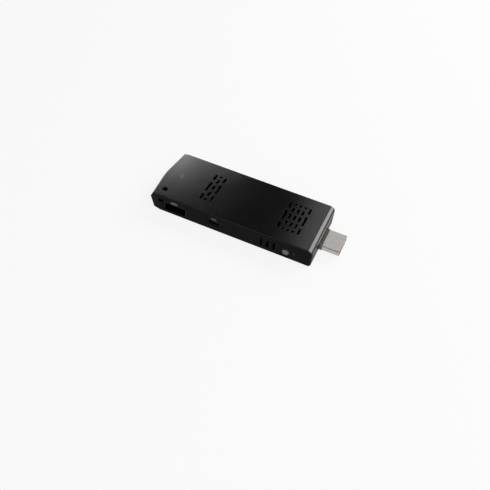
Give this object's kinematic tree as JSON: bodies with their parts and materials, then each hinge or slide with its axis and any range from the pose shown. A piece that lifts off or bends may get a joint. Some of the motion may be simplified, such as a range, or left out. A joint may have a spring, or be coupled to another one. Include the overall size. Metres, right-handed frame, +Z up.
{
  "type": "stick computer",
  "caption": "Pocket stick computer that plugs straight into a screen's video socket, with data and power ports, a card slot, a power button and a small blower.",
  "frame": {"origin": "under the middle of the whole length and width, on the flat underside", "axes": "+X along the body towards the video plug, -Y towards the side with the ports and the button, +Z up out of the vented cover"},
  "size_m": [0.1068, 0.0376, 0.0116],
  "materials": {
    "cover_black": "satin moulded plastic with a very fine grain",
    "case_black": "satin moulded plastic with a very fine grain",
    "button_grey": null,
    "clear_plastic": "smoked clear plastic",
    "plug_metal": "satin nickel plate",
    "port_metal": "satin nickel plate",
    "contact_gold": "gold plate",
    "board_black": "black solder mask",
    "chip_black": "moulded chip resin",
    "ceramic_tan": "fired ceramic with plated ends",
    "sink_metal": "satin aluminium",
    "pad_grey": "soft filled pad",
    "shield_metal": "tin plate",
    "fan_black": "moulded plastic",
    "magnet_grey": "bonded magnet",
    "steel": "ground steel",
    "bronze": "sintered bronze",
    "copper": "enamelled copper",
    "screw_steel": "blackened steel",
    "insert_black": "moulded plastic",
    "wire_black": "flexible sleeve",
    "light_white": "clear resin over a pale base",
    "antenna_amber": "copper pattern in a thin film"
  },
  "bodies": {
    "case": {"top_cover": "cover_black", "bottom_case": "case_black", "switch_body": "port_metal", "top_light_pipe": "clear_plastic", "side_light_pipe": "clear_plastic", "status_lights": "light_white", "main_board": "board_black", "board_screws": "screw_steel", "processor": "chip_black", "thermal_pad": "pad_grey", "heat_sink": "sink_metal", "sink_screws": "screw_steel", "memory_chips": "chip_black", "storage_chip": "chip_black", "power_chip": "chip_black", "power_coils": "magnet_grey", "capacitors": "ceramic_tan", "crystals": "shield_metal", "clock_cell": "steel", "wireless_module": "board_black", "wireless_shield": "shield_metal", "antennas": "antenna_amber", "antenna_leads": "wire_black", "video_plug_shell": "plug_metal", "video_plug_collar": "plug_metal", "video_plug_insert": "insert_black", "video_plug_contacts": "contact_gold", "data_port_shell": "port_metal", "data_port_tongue": "insert_black", "data_port_contacts": "contact_gold", "power_port_shell": "port_metal", "power_port_tongue": "insert_black", "power_port_contacts": "contact_gold", "card_socket_shell": "shield_metal", "card_socket_frame": "insert_black", "card_socket_contacts": "contact_gold", "fan_housing": "fan_black", "fan_cover": "sink_metal", "fan_bearing": "bronze", "fan_coil": "copper", "fan_screws": "screw_steel", "fan_socket": "insert_black", "fan_lead": "wire_black"},
    "button": {"power_button": "button_grey", "switch_plunger": "insert_black"},
    "rotor": {"fan_impeller": "fan_black", "fan_magnet": "magnet_grey", "fan_shaft": "steel"}
  },
  "joints": [
    {"name": "power_button_press", "type": "slide", "parent": "case", "child": "button", "axis": [0, 1, 0], "range_m": [0, 0.00035], "stiffness_N_per_m": 1500, "springref_m": -0.0001},
    {"name": "fan_spin", "type": "hinge", "parent": "case", "child": "rotor", "pos_m": [0.024, -0.0018, 0.007], "axis": [0, 0, 1], "continuous": true}
  ]
}
